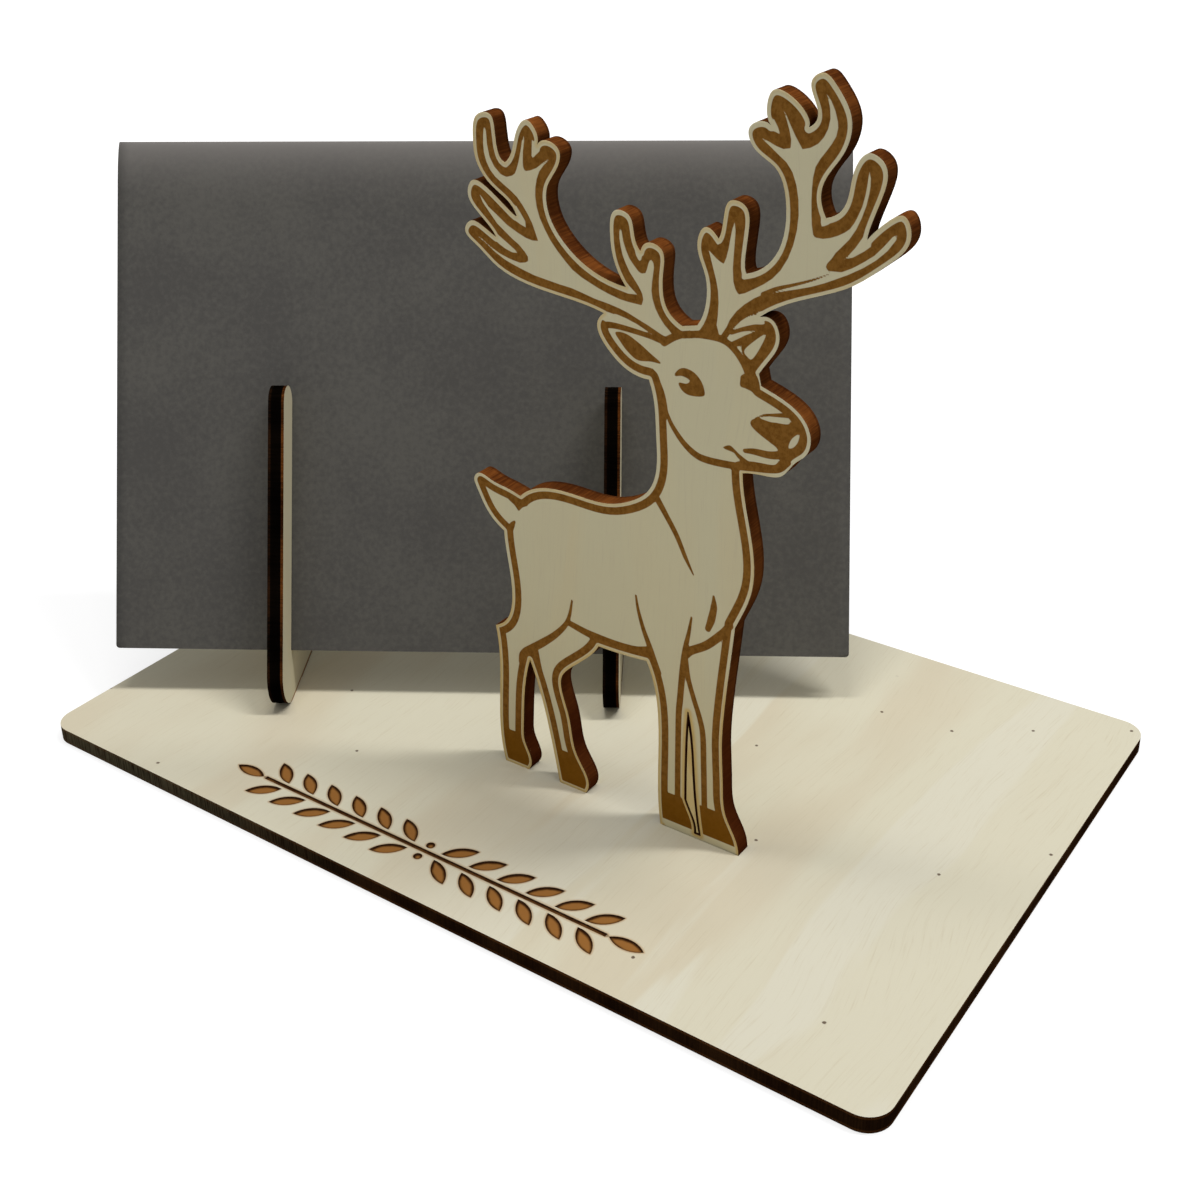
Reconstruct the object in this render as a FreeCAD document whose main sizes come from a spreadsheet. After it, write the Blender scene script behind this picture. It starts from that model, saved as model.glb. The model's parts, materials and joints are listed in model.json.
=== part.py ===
"""A plywood desk stand that shows a folded gift card behind a standing stag.

Millimetres, +Z up. The origin is the middle of the base's underside, +X runs along the
base's long front edge to the right and +Y runs back.
"""
import FreeCAD, Part
import math
import os

Vector = FreeCAD.Vector
doc = FreeCAD.newDocument("gift_card_holder")

# Driving dimensions
SIZES = [
    # plywood: two face veneers glued on a core
    ("veneer_thickness", 0.6),
    ("core_thickness", 2.3),
    # base
    ("base_length", 200),
    ("base_width", 130),
    ("base_corner_radius", 5),
    # clearance round every tab, and how far a tab's end stays above the underside
    ("tab_clearance", 0.1),
    ("tab_recess", 0.1),
    # folded card: its place in plan, how it is turned and how far it leans back
    ("card_length", 163.3),
    ("card_height", 113.5),
    ("card_depth", 3),
    ("card_stock", 0.5),
    ("card_corner_radius", 0.8),
    ("card_foot_x", -28.2),
    ("card_foot_y", -3.7),
    ("card_foot_height", 10.85),
    ("card_turn_angle", 32),
    ("card_lean_angle", 25),
    # gift card inside the folded card
    ("gift_card_length", 85.6),
    ("gift_card_height", 54),
    ("gift_card_thickness", 0.76),
    ("gift_card_corner_radius", 3.2),
    ("gift_card_rise", 30),
    # the two forked supports
    ("support_spacing", 73.4),
    ("support_shift", -7),
    ("slot_clearance", 0.2),
    ("prong_width", 7.6),
    ("prong_top", 66.2),
    ("toe_radius", 7),
    ("foot_reach", 40),
    ("heel_height", 6),
    ("gusset_rise", 34),
    ("support_tab_start", 6),
    ("support_tab_length", 20),
    # stag
    ("stag_height", 150.35),
    ("stag_front_y", -20.5),
    ("kerf", 0.4),
    # leaf garland engraved along the base's front edge
    ("engraving_depth", 0.25),
    ("garland_length", 102),
    ("garland_x", -3),
    ("garland_margin", 12),
    ("stem_width", 0.9),
    ("leaf_length", 7.5),
    ("leaf_width", 2.8),
    ("leaf_angle", 38),
    ("leaf_pitch", 6.8),
    ("leaf_gap", 0.6),
    ("berry_diameter", 1.8),
]

sheet = doc.addObject("Spreadsheet::Sheet", "Sizes")
for row, (alias, value) in enumerate(SIZES, start=1):
    sheet.set(f"A{row}", alias)
    sheet.set(f"B{row}", str(value))
    sheet.setAlias(f"B{row}", alias)
doc.recompute()


def size(alias):
    """The number that the sheet holds under this alias."""
    return float(sheet.get(alias))


PLY = "(2 * Sizes.veneer_thickness + Sizes.core_thickness)"
ply = 2 * size("veneer_thickness") + size("core_thickness")

# The three plies of any board, from its first face on: name, start and thickness
PLIES = [
    ("first", "0", "Sizes.veneer_thickness"),
    ("core", "Sizes.veneer_thickness", "Sizes.core_thickness"),
    ("last", "Sizes.veneer_thickness + Sizes.core_thickness", "Sizes.veneer_thickness"),
]
PLY_START = {
    "first": 0,
    "core": size("veneer_thickness"),
    "last": size("veneer_thickness") + size("core_thickness"),
}

nodes = []


def bind(feature, **expressions):
    """Tie a feature's properties to the sheet. A double underscore stands for a dot."""
    for name, expression in expressions.items():
        feature.setExpression(name.replace("__", "."), expression)


def finished(feature, label):
    """Name a finished sub-part and list it for export."""
    feature.Label = label
    nodes.append(feature)
    return feature


def profile(name, shape):
    """A flat construction shape that a sub-part is extruded from."""
    feature = doc.addObject("Part::Feature", name)
    feature.Shape = shape
    return feature


def extrusion(name, base, direction, thickness, placement):
    """A solid as thick as the sheet says, from a flat profile."""
    feature = doc.addObject("Part::Extrusion", name)
    feature.Base = base
    feature.DirMode = "Custom"
    feature.Dir = direction
    feature.Solid = True
    bind(feature, LengthFwd=thickness)
    feature.Placement = placement
    return feature


def smooth_wire(runs):
    """A closed wire: each run is a smooth curve through its points, and runs meet at corners."""
    edges = []
    for run in runs:
        points = [Vector(x, 0, z) for x, z in run]
        if len(points) == 2:
            edges.append(Part.LineSegment(*points).toShape())
        else:
            curve = Part.BSplineCurve()
            curve.interpolate(points)
            edges.append(curve.toShape())
    return Part.Wire(edges)


# Where the card and its supports stand
turn = math.radians(size("card_turn_angle"))
lean = math.radians(size("card_lean_angle"))
along = Vector(math.cos(turn), math.sin(turn), 0)
back = Vector(-math.sin(turn), math.cos(turn), 0)
up = Vector(0, 0, 1)
base_top = ply
card_foot = Vector(size("card_foot_x"), size("card_foot_y"), base_top + size("card_foot_height"))
turned = FreeCAD.Rotation(up, size("card_turn_angle"))
leaned = turned.multiply(FreeCAD.Rotation(Vector(1, 0, 0), -size("card_lean_angle")))
support_frame = FreeCAD.Rotation(back, up, along, "ZXY")


def support_foot(side):
    """The point on the base's top below the card's front edge, mid-thickness of a support."""
    distance = size("support_shift") + side * size("support_spacing") / 2
    foot = card_foot + along * distance
    return Vector(foot.x, foot.y, base_top)


SUPPORTS = [("left", -1), ("right", 1)]

# Base: slots for the three tabs, cut through every ply
DRAWN_HEIGHT = 150.35
TAB_LEFT = 31.2
TAB_RIGHT = 48.4
stag_scale = size("stag_height") / DRAWN_HEIGHT
STAG_SCALE = f"Sizes.stag_height / {DRAWN_HEIGHT}"

stag_slot = doc.addObject("Part::Box", "StagSlot")
bind(
    stag_slot,
    Length=f"{TAB_RIGHT - TAB_LEFT} * {STAG_SCALE} + 2 * Sizes.tab_clearance",
    Width=f"{PLY} + 2 * Sizes.tab_clearance",
    Height=PLY,
    Placement__Base__x=f"{TAB_LEFT} * {STAG_SCALE} - Sizes.tab_clearance",
    Placement__Base__y="Sizes.stag_front_y - Sizes.tab_clearance",
)
slots = [stag_slot]
for side_name, side in SUPPORTS:
    slot = doc.addObject("Part::Box", f"{side_name.capitalize()}SupportSlot")
    bind(
        slot,
        Length=f"{PLY} + 2 * Sizes.tab_clearance",
        Width="Sizes.support_tab_length + 2 * Sizes.tab_clearance",
        Height=PLY,
    )
    corner = support_foot(side)
    corner += along * -(ply / 2 + size("tab_clearance"))
    corner += back * (size("support_tab_start") - size("tab_clearance"))
    slot.Placement = FreeCAD.Placement(Vector(corner.x, corner.y, 0), turned)
    slots.append(slot)
base_slots = doc.addObject("Part::MultiFuse", "BaseSlots")
base_slots.Shapes = slots


def base_slab(name, start, thickness):
    """One ply of the base with its rounded corners."""
    body = doc.addObject("PartDesign::Body", name)
    board = body.newObject("PartDesign::AdditiveBox", f"{name}Board")
    bind(
        board,
        Length="Sizes.base_length",
        Width="Sizes.base_width",
        Height=thickness,
        Placement__Base__x="-Sizes.base_length / 2",
        Placement__Base__y="-Sizes.base_width / 2",
        Placement__Base__z=start,
    )
    doc.recompute()
    upright = [
        f"Edge{number}"
        for number, edge in enumerate(board.Shape.Edges, start=1)
        if abs(edge.tangentAt(edge.FirstParameter).z) > 0.5
    ]
    corners = body.newObject("PartDesign::Fillet", f"{name}Corners")
    corners.Base = (board, upright)
    bind(corners, Radius="Sizes.base_corner_radius")
    body.Tip = corners
    return body


# Garland: a stem with pairs of leaves and two berries, all cut side by side
def leaf_shape():
    """A pointed leaf along +X from the origin: two arcs that meet at both tips."""
    half_width = size("leaf_width") / 2
    length = size("leaf_length")
    upper = Part.Arc(Vector(0, 0, 0), Vector(length / 2, half_width, 0), Vector(length, 0, 0))
    lower = Part.Arc(Vector(length, 0, 0), Vector(length / 2, -half_width, 0), Vector(0, 0, 0))
    face = Part.Face(Part.Wire([upper.toShape(), lower.toShape()]))
    return face.extrude(up * size("engraving_depth"))


def garland_tool():
    """Leaves point outwards from the middle of the stem, which has a berry on either side."""
    depth = size("engraving_depth")
    gap = size("leaf_gap")
    half_stem = size("garland_length") / 2 - size("leaf_length") - gap
    half_width = size("stem_width") / 2
    corner = Vector(-half_stem, -half_width, 0)
    pieces = [Part.makeBox(2 * half_stem, 2 * half_width, depth, corner)]

    def add_leaf(x, y, angle):
        """A leaf with its root at this point of the stem's side or end."""
        leaf = leaf_shape()
        leaf.rotate(Vector(0, 0, 0), up, angle)
        leaf.translate(Vector(x, y, 0))
        pieces.append(leaf)

    pitch = size("leaf_pitch")
    pairs = int(half_stem / pitch + 0.5)
    for direction, facing in ((1, 0), (-1, 180)):
        for pair in range(pairs):
            x = direction * (pair + 0.5) * pitch
            for side in (1, -1):
                add_leaf(x, side * (half_width + gap), facing + direction * side * size("leaf_angle"))
        add_leaf(direction * (half_stem + gap), 0, facing)
    berry_radius = size("berry_diameter") / 2
    for side in (1, -1):
        centre = Vector(0, side * (half_width + gap + berry_radius), 0)
        pieces.append(Part.makeCylinder(berry_radius, depth, centre))
    tool = Part.makeCompound(pieces)
    tool.translate(Vector(
        size("garland_x"),
        size("garland_margin") - size("base_width") / 2,
        base_top - depth,
    ))
    return tool


garland = profile("Garland", garland_tool())
BASE_LABELS = {"first": "base_bottom_veneer", "core": "base_core", "last": "base_top_veneer"}
for layer, start, thickness in PLIES:
    slab = base_slab(f"Base{layer.capitalize()}Slab", start, thickness)
    slotted = doc.addObject("Part::Cut", f"Base{layer.capitalize()}")
    slotted.Base = slab
    slotted.Tool = base_slots
    if layer == "last":
        engraved = doc.addObject("Part::Cut", "BaseEngraved")
        engraved.Base = slotted
        engraved.Tool = garland
        slotted = engraved
    finished(slotted, BASE_LABELS[layer])


# Supports: a leaning fork with a rounded toe, a gusset behind and a tab below
def support_outline():
    """The fork in its own plane: local x runs back, local y runs up from the base's top."""
    rise = Vector(math.sin(lean), math.cos(lean), 0)
    behind = Vector(math.cos(lean), -math.sin(lean), 0)
    foot = Vector(0, size("card_foot_height"), 0)

    def leaning(height, depth):
        """A point this far up the card from its foot and this far behind its front face."""
        return foot + rise * height + behind * depth

    slot_front = -size("slot_clearance")
    slot_back = size("card_depth") + size("slot_clearance")
    width = size("prong_width")
    half = width / 2
    prong_front = slot_front - width
    prong_back = slot_back + width
    # the front prong's round top is as high as prong_top, and both prongs are as long
    centre_drop = (slot_front - half) * -math.sin(lean)
    reach = (size("prong_top") - half - size("card_foot_height") - centre_drop) / math.cos(lean)

    def round_end(start_depth, end_depth):
        """The half circle over a prong's end."""
        start = leaning(reach, start_depth)
        crown = leaning(reach + half, (start_depth + end_depth) / 2)
        return Part.Arc(start, crown, leaning(reach, end_depth)).toShape()

    # toe: the prong's front line and the base's top, joined by an arc that touches both
    front = leaning(0, prong_front)
    front_corner = front - rise * (front.y / rise.y)
    tangent = size("toe_radius") / math.tan((math.pi / 2 - lean) / 2)
    toe_top = front_corner + rise * tangent
    toe_bottom = front_corner + Vector(tangent, 0, 0)
    toe_centre = toe_bottom + Vector(0, size("toe_radius"), 0)
    outward = (front_corner - toe_centre).normalize()
    toe_middle = toe_centre + outward * size("toe_radius")

    tab_front = size("support_tab_start")
    tab_back = tab_front + size("support_tab_length")
    tab_end = size("tab_recess") - ply
    corners = [
        toe_bottom,
        Vector(tab_front, 0, 0),
        Vector(tab_front, tab_end, 0),
        Vector(tab_back, tab_end, 0),
        Vector(tab_back, 0, 0),
        Vector(size("foot_reach"), 0, 0),
        Vector(size("foot_reach"), size("heel_height"), 0),
        leaning(size("gusset_rise"), prong_back),
        leaning(reach, prong_back),
    ]
    edges = [Part.LineSegment(a, b).toShape() for a, b in zip(corners, corners[1:])]
    edges.append(round_end(prong_back, slot_back))
    slot = [
        leaning(reach, slot_back),
        leaning(0, slot_back),
        leaning(0, slot_front),
        leaning(reach, slot_front),
    ]
    edges += [Part.LineSegment(a, b).toShape() for a, b in zip(slot, slot[1:])]
    edges.append(round_end(slot_front, prong_front))
    edges.append(Part.LineSegment(leaning(reach, prong_front), toe_top).toShape())
    edges.append(Part.Arc(toe_top, toe_middle, toe_bottom).toShape())
    return Part.Face(Part.Wire(edges))


fork = profile("Fork", support_outline())
PLY_SIDES = {"first": "left_veneer", "core": "core", "last": "right_veneer"}
for side_name, side in SUPPORTS:
    for layer, start, thickness in PLIES:
        place = support_foot(side) + along * (PLY_START[layer] - ply / 2)
        ply_piece = extrusion(
            f"{side_name.capitalize()}Support{layer.capitalize()}",
            fork,
            Vector(0, 0, 1),
            thickness,
            FreeCAD.Placement(place, support_frame),
        )
        finished(ply_piece, f"{side_name}_support_{PLY_SIDES[layer]}")

# Stag: its outline at the drawn height, as x and z in the figure's plane, the ground at z = 0
BACK_AND_NECK = [
    (-1.4, 63.8), (3.9, 66.9), (10.6, 67.55), (18.9, 67.7), (23.6, 69.4), (27.9, 72.8),
    (29.4, 76.4), (29.5, 84), (28.8, 91.8), (28, 94.3),
]
LEFT_EAR = [(28, 94.3), (23.8, 95), (19.7, 97.9), (17.2, 102.3), (18.7, 104.7)]
LEFT_ANTLER = [
    [(18.7, 104.7), (10.5, 106), (0.1, 107.4), (-4.9, 109.3), (-9.2, 112.4), (-11.65, 114.9),
     (-10.3, 116.7), (-7.6, 116.2), (-4.6, 114.6)],
    [(-4.6, 114.6), (-8.4, 118.5), (-10.6, 122), (-9.5, 124.2), (-6.5, 123.6), (0.25, 119.3)],
    [(0.25, 119.3), (-1.5, 121.6), (-5.3, 124.1), (-8.4, 128.2), (-8.8, 132.4), (-7.6, 136.2),
     (-4.9, 136.6), (-3.85, 133.5), (-1.85, 128.5)],
    [(-1.85, 128.5), (-0.1, 131.2), (1.05, 134.7), (3, 136.5), (4.9, 135.1), (5.15, 132.3)],
    [(5.15, 132.3), (7.4, 133.5), (9.9, 132), (9.5, 129.3), (7.2, 125.6), (7.4, 120.5),
     (10.1, 116.4), (15.1, 112.6), (23.35, 110.3)],
    [(23.35, 110.3), (21.2, 113.9), (20.15, 119.5), (21.3, 123.5), (23.9, 123.15), (25.1, 119.7),
     (26.35, 117.2)],
    [(26.35, 117.2), (28.2, 119), (30.6, 118.1), (30.9, 114.5), (30.8, 111.1), (34.7, 105.5)],
]
CROWN = [(34.7, 105.5), (37.7, 106.2)]
RIGHT_ANTLER = [
    [(37.7, 106.2), (39.3, 110.3), (39, 115.5), (37.5, 120.3), (38.6, 123.2), (41.5, 121.9)],
    [(41.5, 121.9), (42.4, 125.5), (43.6, 128.5), (46, 128.3), (47, 123.5), (46.9, 116.9)],
    [(46.9, 116.9), (52.1, 120.9), (53.65, 129), (51.4, 135), (47.5, 137.65), (46.65, 140.5),
     (48.4, 141.8), (50.5, 141.4)],
    [(50.5, 141.4), (49.7, 144.6), (50.8, 146.9), (53.2, 146.6), (57, 141.9)],
    [(57, 141.9), (58.4, 144.6), (57.3, 149.2), (59, 150.35), (61.4, 148.7), (64.2, 143.5),
     (63, 138.5), (60.8, 135.3), (60.65, 128.3)],
    [(60.65, 128.3), (64.2, 132), (65.3, 137.2), (67.3, 139.3), (69.7, 138.3), (69.7, 132.5),
     (67.8, 126)],
    [(67.8, 126), (71.2, 129.6), (73.6, 130.6), (74.9, 128.3), (71.2, 122.4), (65.6, 118.1),
     (58.2, 114.8), (49.5, 110)],
]
RIGHT_EAR = [(49.5, 110), (52.3, 109.6), (53.3, 107), (51.25, 102.4), (49.7, 100.1)]
BROW = [(49.7, 100.1), (50.2, 98)]
MUZZLE = [
    (50.2, 98), (54.2, 96.6), (58.3, 93.9), (59.8, 90.3), (58.75, 87.2), (57.2, 85.8), (54.6, 82.6),
    (50.5, 81.8), (47.1, 81.2),
]
THROAT = [(47.1, 81.2), (48.2, 73.7), (49.8, 65.3), (49.6, 58.7), (47.2, 52), (46.4, 50.2)]
FRONT_RIGHT_LEG = [
    (46.4, 50.2), (45.5, 41.5), (44.5, 31), (44.2, 24), (44.6, 15.2), (45.5, 7.8), (47.6, 3.6),
    (TAB_RIGHT, 0),
]
FRONT_LEFT_LEG = [(30.6, 0), (30, 11), (30.1, 23), (29.2, 31.5), (27.4, 36.7)]
BELLY = [(27.4, 36.7), (20, 36.2), (16.3, 36.2)]
REAR_RIGHT_LEG = [
    [(16.3, 36.2), (10, 29.4), (7.3, 26.2), (8.7, 17.3), (10.5, 8.5), (13.3, 2.5), (12.6, 0)],
    [(12.6, 0), (6, 0)],
    [(6, 0), (4.5, 8.3), (2.6, 17.3), (-0.6, 27.4)],
]
REAR_LEFT_LEG = [
    [(-0.6, 27.4), (-1.8, 22.5), (-2.95, 10), (-2.9, 7.3), (-1.2, 2.6), (-2, 0)],
    [(-2, 0), (-8, 0)],
    [(-8, 0), (-9.05, 8.8), (-8.4, 22.5), (-9, 32.7)],
]
RUMP = [(-9, 32.7), (-5.8, 35.4), (-4.4, 41.5), (-5, 48.3), (-5.75, 55.1)]
TAIL = [
    (-5.75, 55.1), (-9.4, 58.1), (-12.1, 62.9), (-12.6, 64.8), (-11.7, 66), (-8.3, 65.4),
    (-4.4, 64.6), (-1.4, 63.8),
]

# The long narrow gap between the front legs, which the cut-out sliver still fills
GAP_APEX = (36.7, 28.6)
GAP_LEFT = [(36.35, 22.5), (36.2, 15), (36.2, 8.3)]
GAP_HOOF = [(37.1, 6.2), (38.2, 3.6), (38.5, 1.05)]
GAP_RIGHT = [(39.8, 1.05), (38.9, 7.3), (38.3, 14.1), (37.9, 20.4)]
# how far the apex moves for each millimetre that the two sides draw in
APEX_SHIFT = (0.4, -8)


def scaled(run):
    """A drawn run at the figure's real height."""
    return [(x * stag_scale, z * stag_scale) for x, z in run]


def stag_tab():
    """Down, along and up round the tab, and the small shoulder beside the front left hoof."""
    end = size("tab_recess") - ply
    left = TAB_LEFT * stag_scale
    right = TAB_RIGHT * stag_scale
    corners = [(right, 0), (right, end), (left, end), (left, 0), scaled(FRONT_LEFT_LEG)[0]]
    return list(zip(corners, corners[1:]))


def leg_gap(inset):
    """The gap's outline, drawn in by the inset on every side."""
    apex = (
        GAP_APEX[0] * stag_scale + APEX_SHIFT[0] * inset,
        GAP_APEX[1] * stag_scale + APEX_SHIFT[1] * inset,
    )
    left = [(x + inset, z) for x, z in scaled(GAP_LEFT)]
    hoof = [(x + inset, z) for x, z in scaled(GAP_HOOF)]
    hoof[-1] = (hoof[-1][0], hoof[-1][1] + inset)
    right = [(x - inset, z) for x, z in scaled(GAP_RIGHT)]
    right[0] = (right[0][0], right[0][1] + inset)
    return smooth_wire([
        [apex] + left,
        left[-1:] + hoof,
        [hoof[-1], right[0]],
        right + [apex],
    ])


stag_runs = [scaled(BACK_AND_NECK), scaled(LEFT_EAR)]
stag_runs += [scaled(run) for run in LEFT_ANTLER]
stag_runs += [scaled(CROWN)]
stag_runs += [scaled(run) for run in RIGHT_ANTLER]
stag_runs += [scaled(run) for run in (RIGHT_EAR, BROW, MUZZLE, THROAT, FRONT_RIGHT_LEG)]
stag_runs += stag_tab()
stag_runs += [scaled(FRONT_LEFT_LEG), scaled(BELLY)]
stag_runs += [scaled(run) for run in REAR_RIGHT_LEG + REAR_LEFT_LEG]
stag_runs += [scaled(RUMP), scaled(TAIL)]

leg_gap_wire = leg_gap(0)
stag_wire = smooth_wire(stag_runs)
stag_face = Part.makeFace([stag_wire, leg_gap_wire], "Part::FaceMakerBullseye")
stag_figure = profile("StagFigure", stag_face)
sliver_face = Part.Face(leg_gap(size("kerf")))
sliver_figure = profile("SliverFigure", sliver_face)

STAG_LABELS = {"first": "stag_front_veneer", "core": "stag_core", "last": "stag_back_veneer"}
for layer, start, thickness in PLIES:
    place = Vector(0, size("stag_front_y") + PLY_START[layer], base_top)
    ply_piece = extrusion(
        f"Stag{layer.capitalize()}",
        stag_figure,
        Vector(0, 1, 0),
        thickness,
        FreeCAD.Placement(place, FreeCAD.Rotation()),
    )
    finished(ply_piece, STAG_LABELS[layer])
sliver = extrusion(
    "LegGapSliver",
    sliver_figure,
    Vector(0, 1, 0),
    PLY,
    FreeCAD.Placement(Vector(0, size("stag_front_y"), base_top), FreeCAD.Rotation()),
)
finished(sliver, "leg_gap_sliver")

# Folded card: local x runs along it, local y runs back from its front face, local z up it
card_place = FreeCAD.Placement(card_foot, leaned)


def rounded_sheet(name, length, height, thickness, radius, rounded_heights):
    """A standing sheet centred on x, with its corners at the given heights rounded."""
    body = doc.addObject("PartDesign::Body", name)
    board = body.newObject("PartDesign::AdditiveBox", f"{name}Board")
    bind(board, Length=length, Width=thickness, Height=height, Placement__Base__x=f"-({length}) / 2")
    doc.recompute()
    box = board.Shape.BoundBox
    wanted = {"bottom": box.ZMin, "top": box.ZMax}
    levels = [wanted[level] for level in rounded_heights]
    corner_edges = []
    for number, edge in enumerate(board.Shape.Edges, start=1):
        runs_back = abs(edge.tangentAt(edge.FirstParameter).y) > 0.5
        if runs_back and any(abs(edge.CenterOfMass.z - level) < 1e-6 for level in levels):
            corner_edges.append(f"Edge{number}")
    corners = body.newObject("PartDesign::Fillet", f"{name}Corners")
    corners.Base = (board, corner_edges)
    bind(corners, Radius=radius)
    body.Tip = corners
    return body


FOLD_RADIUS = "Sizes.card_depth / 2"
LEAF_HEIGHT = f"Sizes.card_height - {FOLD_RADIUS}"
leaf_height = size("card_height") - size("card_depth") / 2


def in_card(depth, height):
    """A place in the card's frame, this far behind its front face and up from its foot."""
    return card_place.multiply(FreeCAD.Placement(Vector(0, depth, height), FreeCAD.Rotation()))


for label, depth in (
    ("card_front_leaf", 0),
    ("card_back_leaf", size("card_depth") - size("card_stock")),
):
    leaf = rounded_sheet(
        label.title().replace("_", ""),
        "Sizes.card_length",
        LEAF_HEIGHT,
        "Sizes.card_stock",
        "Sizes.card_corner_radius",
        ["bottom"],
    )
    leaf.Placement = in_card(depth, 0)
    finished(leaf, label)

# Fold: half of a tube that joins the two leaves along their tops
outer = doc.addObject("Part::Cylinder", "FoldOutside")
inner = doc.addObject("Part::Cylinder", "FoldInside")
bind(outer, Radius=FOLD_RADIUS, Height="Sizes.card_length", Angle="180")
bind(inner, Radius=f"{FOLD_RADIUS} - Sizes.card_stock", Height="Sizes.card_length", Angle="180")
fold = doc.addObject("Part::Cut", "CardFold")
fold.Base = outer
fold.Tool = inner
# the cylinder's axis is turned to run along the card, with its half round side up
lying = FreeCAD.Rotation(Vector(0, 1, 0), Vector(0, 0, 1), Vector(1, 0, 0), "ZXY")
fold_place = FreeCAD.Placement(
    Vector(-size("card_length") / 2, size("card_depth") / 2, leaf_height), lying
)
fold.Placement = card_place.multiply(fold_place)
finished(fold, "card_fold")

gift_card = rounded_sheet(
    "GiftCard",
    "Sizes.gift_card_length",
    "Sizes.gift_card_height",
    "Sizes.gift_card_thickness",
    "Sizes.gift_card_corner_radius",
    ["bottom", "top"],
)
gift_card_depth = size("card_depth") - size("card_stock") - size("gift_card_thickness")
gift_card.Placement = in_card(gift_card_depth, size("gift_card_rise"))
finished(gift_card, "gift_card")

# Test every object, then write one file for each sub-part
doc.recompute()
for item in doc.Objects:
    if "Invalid" in item.State or "Error" in item.State:
        raise RuntimeError(f"{item.Label} failed: {item.State}")
for node in nodes:
    if node.Shape.isNull() or not node.Shape.isValid():
        raise RuntimeError(f"{node.Label} has no valid shape")
os.makedirs("parts", exist_ok=True)
for node in nodes:
    node.Shape.exportStep(f"parts/{node.Label}.step")
    box = node.Shape.BoundBox
    print(
        f"{node.Label}: {len(node.Shape.Solids)} solid, {node.Shape.Volume:.1f} mm3, "
        f"x {box.XMin:.2f} to {box.XMax:.2f}, y {box.YMin:.2f} to {box.YMax:.2f}, "
        f"z {box.ZMin:.2f} to {box.ZMax:.2f}"
    )
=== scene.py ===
# %% [markdown]
# # A plywood stand with a stag, holding a folded card
# This desk stand is cut by laser from 3.5 mm plywood: a base, two forks and a flat stag that stands
# on a tab. A folded grey card leans in the forks' slots. The solids come in at their real size, so
# this file only gives them their looks. A solid whose shape is already right keeps its mesh and
# gets a finish. The two engraved faces and the paper are made anew, because they need more detail
# than the solids hold.

# %% Load the solids
import json

import bmesh
import bpy
import numpy as np
from mathutils import Matrix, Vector
from mathutils.geometry import delaunay_2d_cdt


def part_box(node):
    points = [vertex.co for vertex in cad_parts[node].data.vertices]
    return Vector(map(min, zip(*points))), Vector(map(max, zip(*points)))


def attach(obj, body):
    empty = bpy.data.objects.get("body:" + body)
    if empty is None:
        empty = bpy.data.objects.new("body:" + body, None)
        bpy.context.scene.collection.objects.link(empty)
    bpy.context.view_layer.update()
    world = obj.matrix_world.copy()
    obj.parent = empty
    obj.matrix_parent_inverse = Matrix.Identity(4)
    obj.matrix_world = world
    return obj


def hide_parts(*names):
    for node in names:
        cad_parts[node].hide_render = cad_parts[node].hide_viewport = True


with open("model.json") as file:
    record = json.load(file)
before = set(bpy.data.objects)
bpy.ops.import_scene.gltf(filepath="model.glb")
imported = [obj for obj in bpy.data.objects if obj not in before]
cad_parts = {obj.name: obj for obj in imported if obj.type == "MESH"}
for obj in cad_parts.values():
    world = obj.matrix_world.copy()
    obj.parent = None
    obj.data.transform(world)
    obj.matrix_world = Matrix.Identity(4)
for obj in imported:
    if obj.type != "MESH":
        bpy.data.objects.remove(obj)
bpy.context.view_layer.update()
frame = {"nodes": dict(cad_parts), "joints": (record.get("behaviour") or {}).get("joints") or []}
scene = bpy.context.scene
MM = 0.001

# %% [markdown]
# ## The camera
# The picture was taken from the right, a little above the stag's antlers. The camera's place, its
# turn and its lens were worked out from the base's corners and the stag's outline. The lens looks a
# little lower than the middle of the picture, and the shift puts that back.

# %% Place the camera
CAMERA_PLACE = (170.3, -238.3, 204.0)
CAMERA_YAW, CAMERA_PITCH, CAMERA_ROLL = np.radians((35.09, 25.75, -0.91))
CAMERA_LENS = 48.42
CAMERA_SHIFT = -0.10

camera = bpy.data.objects.new("camera", bpy.data.cameras.new("camera"))
camera.data.lens = CAMERA_LENS
camera.data.shift_y = CAMERA_SHIFT
camera.matrix_world = (
    Matrix.Translation([place * MM for place in CAMERA_PLACE])
    @ Matrix.Rotation(CAMERA_YAW, 4, "Z")
    @ Matrix.Rotation(np.pi / 2 - CAMERA_PITCH, 4, "X")
    @ Matrix.Rotation(CAMERA_ROLL, 4, "Z")
)
scene.collection.objects.link(camera)
scene.camera = camera
print("camera lens in mm:", camera.data.lens)

# %% [markdown]
# ## Shader maths in plain Python
# A finish is a chain of nodes, and a chain is hard to read as a list of nodes and links. The class
# below wraps one output socket, so that `1 - mask * 0.5` adds the two Math nodes by itself. Every
# other node comes from its one method `node`, which makes the node's settings first and then fills
# its sockets.

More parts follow.
